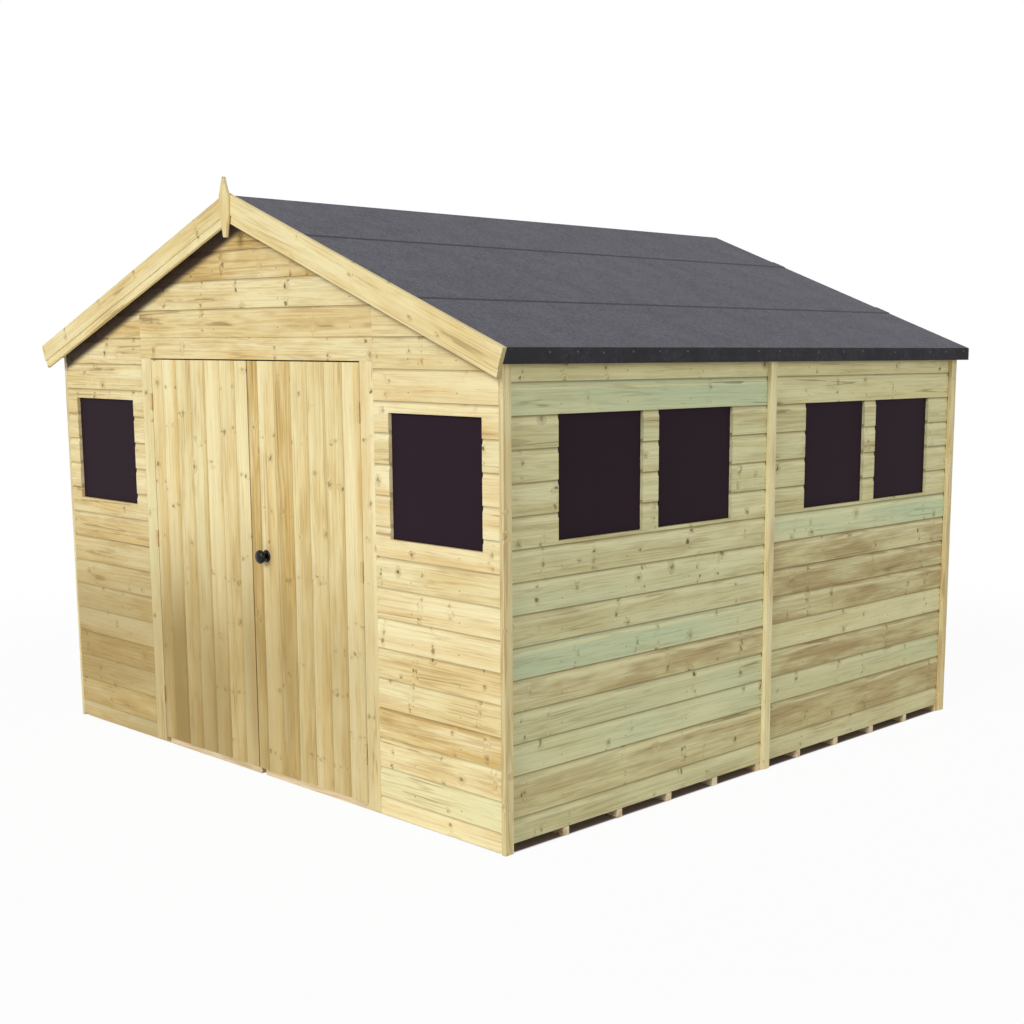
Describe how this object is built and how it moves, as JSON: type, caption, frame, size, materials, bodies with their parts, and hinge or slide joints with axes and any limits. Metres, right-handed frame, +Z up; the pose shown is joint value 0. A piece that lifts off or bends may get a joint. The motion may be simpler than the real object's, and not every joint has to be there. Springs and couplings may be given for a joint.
{
  "type": "wooden garden shed",
  "caption": "Timber apex garden shed with horizontal shiplap walls, outward double doors, small dark windows, felted pitched roof, bargeboards and finial.",
  "frame": {"origin": "on the ground at the centre of the plan, on the underside of the middle floor bearer", "axes": "+X to the right seen from the front, +Y from the front to the back, +Z up"},
  "size_m": [3.204, 3.153, 2.4817],
  "materials": {
    "front_boards": "planed pale pine, matt",
    "side_boards": "planed pine with a green treatment tint, matt",
    "door_boards": "planed pale pine, matt",
    "strip_timber": "planed pine, matt",
    "barge_timber": "planed pale pine, matt",
    "frame_timber": "sawn pine, matt",
    "floor_timber": "planed pine boards, matt",
    "bearer_timber": "sawn pine, matt",
    "roof_timber": "sawn boards, matt",
    "roof_felt": "mineral felt, rough",
    "dark_panes": "dark, smooth",
    "black_iron": "gloss black",
    "zinc_hinges": "dull zinc"
  },
  "bodies": {
    "shed": {"floor_bearers": "bearer_timber", "floor_boards": "floor_timber", "front_left_panel": "front_boards", "front_right_panel": "front_boards", "front_gable_panel": "front_boards", "door_head_board": "front_boards", "door_trims": "front_boards", "right_front_panel": "side_boards", "right_back_panel": "side_boards", "left_front_panel": "side_boards", "left_back_panel": "side_boards", "back_left_panel": "side_boards", "back_right_panel": "side_boards", "corner_strips": "strip_timber", "cover_strips": "strip_timber", "front_frame": "frame_timber", "right_frame": "frame_timber", "left_frame": "frame_timber", "back_frame": "frame_timber", "front_panes": "dark_panes", "right_panes": "dark_panes", "left_panes": "dark_panes", "hinge_posts": "zinc_hinges", "roof_boards_left": "roof_timber", "roof_boards_right": "roof_timber", "eaves_battens": "roof_timber", "purlins": "frame_timber", "roof_truss": "frame_timber", "felt_lower_left": "roof_felt", "felt_lower_right": "roof_felt", "felt_upper_left": "roof_felt", "felt_upper_right": "roof_felt", "felt_ridge_cap": "roof_felt", "front_bargeboards": "barge_timber", "back_bargeboards": "barge_timber", "finial": "barge_timber"},
    "left_leaf": {"left_door": "door_boards", "left_door_ledges": "frame_timber", "left_hinge_leaves": "zinc_hinges", "latch_keep": "black_iron"},
    "right_leaf": {"right_door": "door_boards", "right_door_ledges": "frame_timber", "right_hinge_leaves": "zinc_hinges", "door_rose": "black_iron", "latch_case": "black_iron"},
    "knob": {"door_knob": "black_iron"}
  },
  "joints": [
    {"name": "left_door_hinge", "type": "hinge", "parent": "shed", "child": "left_leaf", "pos_m": [-0.7395, -1.531, 0.9], "axis": [0, 0, -1], "range_deg": [0, 165]},
    {"name": "right_door_hinge", "type": "hinge", "parent": "shed", "child": "right_leaf", "pos_m": [0.7395, -1.531, 0.9], "axis": [0, 0, 1], "range_deg": [0, 165]},
    {"name": "knob_turn", "type": "hinge", "parent": "right_leaf", "child": "knob", "pos_m": [0.1015, -1.525, 0.957], "axis": [0, -1, 0], "range_deg": [-60, 60], "stiffness_Nm_per_rad": 0.2}
  ]
}
